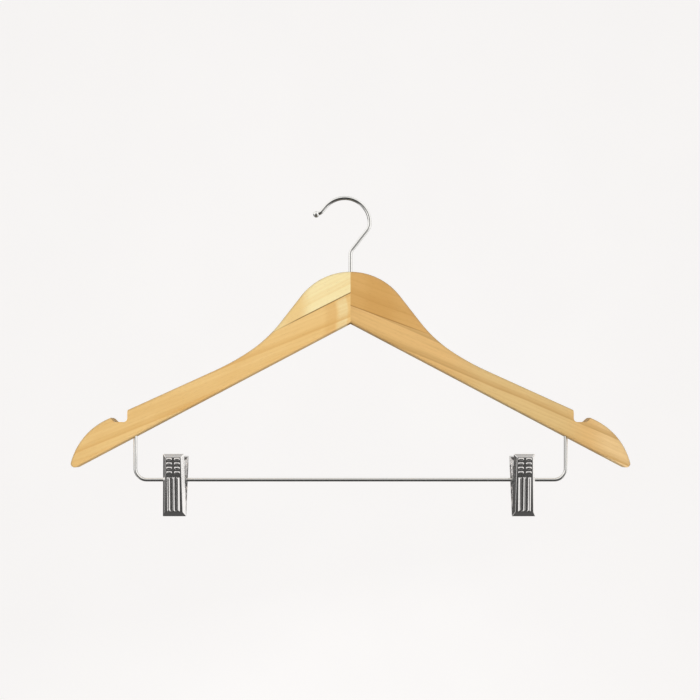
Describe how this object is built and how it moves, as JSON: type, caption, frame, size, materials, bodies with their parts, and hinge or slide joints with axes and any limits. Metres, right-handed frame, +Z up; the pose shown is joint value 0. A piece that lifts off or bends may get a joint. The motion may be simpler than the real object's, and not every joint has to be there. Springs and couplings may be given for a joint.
{
  "type": "skirt hanger",
  "caption": "Wooden clothes hanger with a swivel wire hook, shoulder notches and a wire bar that carries sliding spring clips for skirts.",
  "frame": {"origin": "on the hook's swivel axis, where a rail seats against the inside of the crook", "axes": "+X along the arms to the right, +Y to the back, +Z up the hook's stem"},
  "size_m": [0.443, 0.0221, 0.2548],
  "materials": {
    "left_arm_wood": "clear gloss lacquer over blond wood",
    "right_arm_wood": "clear gloss lacquer over blond wood",
    "left_crown_wood": "clear gloss lacquer over blond wood",
    "right_crown_wood": "clear gloss lacquer over blond wood",
    "hook_wire": "bright plated wire",
    "bar_wire": "bright plated wire",
    "clip_chrome": "bright plated sheet",
    "sleeve_nickel": "dull nickel plate",
    "spring_steel": "zinc plated spring wire",
    "bare_steel": "plain steel"
  },
  "bodies": {
    "hook": {"hook": "hook_wire", "hook_washer": "bare_steel"},
    "frame": {"left_arm": "left_arm_wood", "left_crown_block": "left_crown_wood", "right_arm": "right_arm_wood", "right_crown_block": "right_crown_wood", "trouser_bar": "bar_wire"},
    "left_clip_sleeve": {"left_clip_sleeve": "sleeve_nickel"},
    "left_clip_back_jaw": {"left_clip_back_jaw": "clip_chrome", "left_clip_spring": "spring_steel"},
    "left_clip_front_jaw": {"left_clip_front_jaw": "clip_chrome"},
    "right_clip_sleeve": {"right_clip_sleeve": "sleeve_nickel"},
    "right_clip_back_jaw": {"right_clip_back_jaw": "clip_chrome", "right_clip_spring": "spring_steel"},
    "right_clip_front_jaw": {"right_clip_front_jaw": "clip_chrome"}
  },
  "joints": [
    {"name": "hook_swivel", "type": "hinge", "parent": "hook", "child": "frame", "pos_m": [0, 0, 0], "axis": [0, 0, 1], "continuous": true},
    {"name": "left_clip_slide", "type": "slide", "parent": "frame", "child": "left_clip_sleeve", "axis": [1, 0, 0], "range_m": [-0.0125, 0.129]},
    {"name": "left_clip_swing", "type": "hinge", "parent": "left_clip_sleeve", "child": "left_clip_back_jaw", "pos_m": [-0.1395, 0, -0.22242], "axis": [1, 0, 0], "continuous": true},
    {"name": "left_clip_squeeze", "type": "hinge", "parent": "left_clip_back_jaw", "child": "left_clip_front_jaw", "pos_m": [-0.1395, 0, -0.22242], "axis": [-1, 0, 0], "range_deg": [0, 30], "stiffness_Nm_per_rad": 0.25, "springref_deg": -68.75, "deforming": ["left_clip_spring"]},
    {"name": "right_clip_slide", "type": "slide", "parent": "frame", "child": "right_clip_sleeve", "axis": [-1, 0, 0], "range_m": [-0.0149, 0.1266]},
    {"name": "right_clip_swing", "type": "hinge", "parent": "right_clip_sleeve", "child": "right_clip_back_jaw", "pos_m": [0.1371, 0, -0.22242], "axis": [1, 0, 0], "continuous": true},
    {"name": "right_clip_squeeze", "type": "hinge", "parent": "right_clip_back_jaw", "child": "right_clip_front_jaw", "pos_m": [0.1371, 0, -0.22242], "axis": [-1, 0, 0], "range_deg": [0, 30], "stiffness_Nm_per_rad": 0.25, "springref_deg": -68.75, "deforming": ["right_clip_spring"]}
  ]
}
